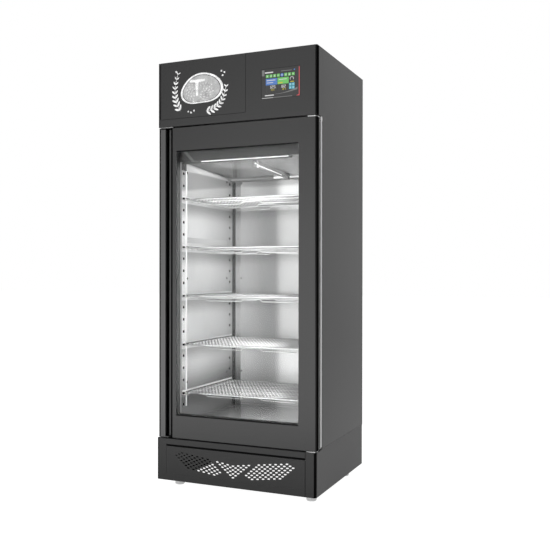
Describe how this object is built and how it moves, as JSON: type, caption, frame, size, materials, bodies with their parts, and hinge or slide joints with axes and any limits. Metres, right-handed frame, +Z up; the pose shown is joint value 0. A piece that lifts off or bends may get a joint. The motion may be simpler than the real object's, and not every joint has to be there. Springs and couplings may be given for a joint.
{
  "type": "dry aging cabinet",
  "caption": "Upright dry aging cabinet with a glazed hinged door, wire shelves on slotted uprights, a perforated base grille and a top-mounted cooling unit behind a fascia.",
  "frame": {"origin": "on the floor, under the middle of the cabinet's overall box", "axes": "+Z up; the door faces -Y; +X to the right seen from the front, on the hinge side"},
  "size_m": [0.839, 0.71, 2.1],
  "materials": {
    "anthracite_coat": "satin powder coat on sheet steel",
    "handle_coat": "satin coated aluminium extrusion",
    "stainless": "fine brushed stainless sheet",
    "bright_steel": "electropolished wire and plate",
    "zinc_plate": "galvanised sheet, dull",
    "aluminium": "mill finish",
    "black_plastic": "fine matt moulding",
    "door_liner": "matt liner over foam",
    "rubber": "soft matt",
    "glass": "clear float glass",
    "screen": "glossy touch panel",
    "lamp": "opal diffuser",
    "copper": "drawn copper tube",
    "machine_black": "black machine enamel"
  },
  "bodies": {
    "cabinet": {"base_frame": "anthracite_coat", "base_grille": "anthracite_coat", "foot_front_left": "zinc_plate", "foot_front_right": "zinc_plate", "foot_rear_left": "zinc_plate", "foot_rear_right": "zinc_plate", "side_wall_left": "anthracite_coat", "side_wall_right": "anthracite_coat", "floor_slab": "stainless", "rear_wall": "zinc_plate", "ceiling_slab": "zinc_plate", "front_frame": "stainless", "fascia": "anthracite_coat", "display_housing": "black_plastic", "display_screen": "screen", "hinge_bracket_top": "bright_steel", "hinge_bracket_bottom": "bright_steel", "upright_front_left": "stainless", "upright_front_right": "stainless", "upright_rear_left": "stainless", "upright_rear_right": "stainless", "side_lining_left": "stainless", "side_lining_right": "stainless", "back_lining": "stainless", "cooler_cover": "stainless", "led_strip": "lamp", "tube_lamp": "lamp", "evaporator_coil": "aluminium", "unit_tray": "zinc_plate", "compressor": "machine_black", "condenser_coil": "aluminium", "condenser_fan_shroud": "zinc_plate", "condenser_fan_motor": "machine_black", "discharge_pipe": "copper", "control_box": "zinc_plate", "shelf_1": "bright_steel", "shelf_runner_left_1": "stainless", "shelf_runner_right_1": "stainless", "shelf_2": "bright_steel", "shelf_runner_left_2": "stainless", "shelf_runner_right_2": "stainless", "shelf_3": "bright_steel", "shelf_runner_left_3": "stainless", "shelf_runner_right_3": "stainless", "shelf_4": "bright_steel", "shelf_runner_left_4": "stainless", "shelf_runner_right_4": "stainless", "shelf_5": "bright_steel", "shelf_runner_left_5": "stainless", "shelf_runner_right_5": "stainless"},
    "door": {"door_skin": "anthracite_coat", "door_inner_frame": "door_liner", "door_glass_outer": "glass", "door_glass_inner": "glass", "glass_spacer": "aluminium", "door_gasket": "rubber", "door_handle": "handle_coat"},
    "flap": {"service_flap": "anthracite_coat"},
    "condenser_rotor": {"condenser_fan": "black_plastic"},
    "cooler_rotor": {"evaporator_fan": "black_plastic"}
  },
  "joints": [
    {"name": "door_hinge", "type": "hinge", "parent": "cabinet", "child": "door", "pos_m": [0.4005, -0.323, 1], "axis": [0, 0, 1], "range_deg": [0, 110]},
    {"name": "flap_hinge", "type": "hinge", "parent": "cabinet", "child": "flap", "pos_m": [-0.4042, -0.341, 1.961], "axis": [0, 0, -1], "range_deg": [0, 90]},
    {"name": "condenser_fan_spin", "type": "hinge", "parent": "cabinet", "child": "condenser_rotor", "pos_m": [0.15, 0.0161, 1.8992], "axis": [0, 1, 0], "continuous": true},
    {"name": "cooler_fan_spin", "type": "hinge", "parent": "cabinet", "child": "cooler_rotor", "pos_m": [0.1, -0.0412, 1.6646], "axis": [0, 1, 0], "continuous": true}
  ]
}
